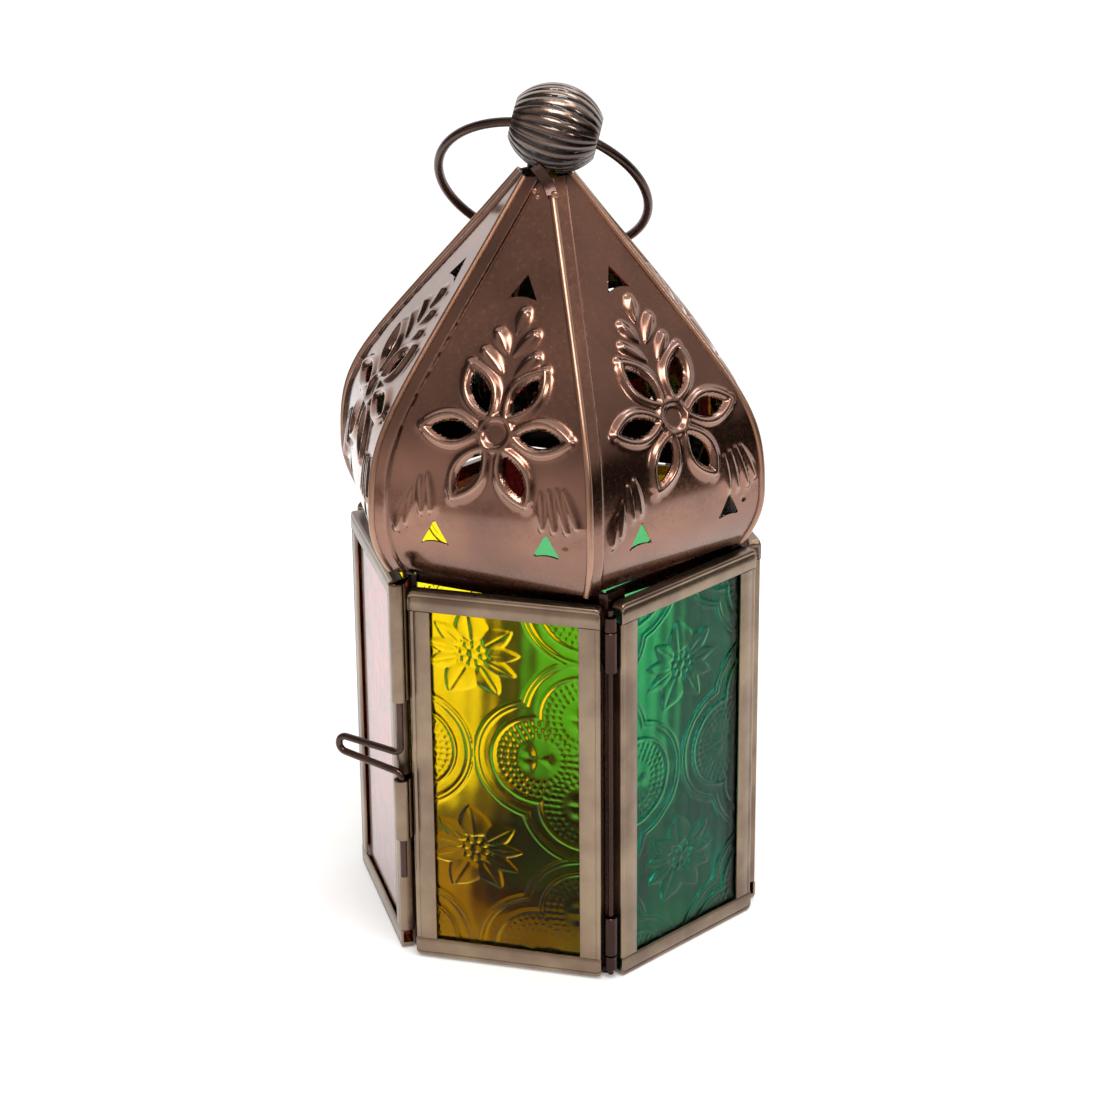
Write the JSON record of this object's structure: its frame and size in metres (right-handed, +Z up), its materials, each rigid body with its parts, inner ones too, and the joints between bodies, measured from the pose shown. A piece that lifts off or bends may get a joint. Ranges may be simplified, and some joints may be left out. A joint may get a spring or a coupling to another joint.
{
  "type": "moroccan lantern",
  "caption": "Six-sided tea-light lantern with framed coloured glass, a hinged door with a wire latch, a pierced onion roof and a carrying ring",
  "frame": {"origin": "centre of the underside of the base plate, on the surface the lantern stands on", "axes": "+Z up through the bead; -Y out of the door; +X to the right of someone who faces the door"},
  "size_m": [0.0954, 0.0866, 0.1836],
  "materials": {
    "frame_metal": "satin antique bronze lacquer on folded sheet",
    "post_metal": "dark antique bronze in the recesses",
    "roof_metal": "glossy copper bronze lacquer on embossed sheet",
    "bead_metal": "glossy dark bronze lacquer",
    "wire_metal": "bright copper-washed wire",
    "glass_amber": "pressed relief, glossy",
    "glass_green": "pressed relief, glossy",
    "glass_red": "pressed relief, glossy"
  },
  "bodies": {
    "root": {"base_plate": "post_metal", "candle_cup": "post_metal", "corner_post_1": "post_metal", "corner_post_2": "post_metal", "corner_post_3": "post_metal", "corner_post_4": "post_metal", "corner_post_5": "post_metal", "corner_post_6": "post_metal", "panel_frame_1": "frame_metal", "panel_frame_2": "frame_metal", "panel_frame_3": "frame_metal", "panel_frame_4": "frame_metal", "panel_frame_5": "frame_metal", "glass_pane_1": "glass_green", "glass_pane_2": "glass_red", "glass_pane_3": "glass_green", "glass_pane_4": "glass_amber", "glass_pane_5": "glass_red", "hinge_pin": "wire_metal", "hinge_bracket_lower": "post_metal", "hinge_bracket_upper": "post_metal", "roof_gore_1": "roof_metal", "roof_gore_2": "roof_metal", "roof_gore_3": "roof_metal", "roof_gore_4": "roof_metal", "roof_gore_5": "roof_metal", "roof_gore_6": "roof_metal", "finial_bead": "bead_metal", "finial_strap": "frame_metal"},
    "door": {"door_frame": "frame_metal", "door_glass": "glass_amber", "hinge_knuckle_lower": "frame_metal", "hinge_knuckle_upper": "frame_metal", "latch_sleeve_upper": "frame_metal", "latch_sleeve_lower": "frame_metal"},
    "latch": {"latch_wire": "wire_metal"},
    "ring": {"carry_ring": "wire_metal"}
  },
  "joints": [
    {"name": "door_swing", "type": "hinge", "parent": "root", "child": "door", "pos_m": [0.02209, -0.03827, 0.0433], "axis": [0, 0, 1], "range_deg": [0, 110]},
    {"name": "latch_lift", "type": "slide", "parent": "door", "child": "latch", "axis": [0, 0, 1], "range_m": [0, 0.0108]},
    {"name": "ring_swing", "type": "hinge", "parent": "root", "child": "ring", "pos_m": [0.0012, 0, 0.17408], "axis": [0.9581, 0.1586, -0.2385], "range_deg": [0, 275]}
  ]
}
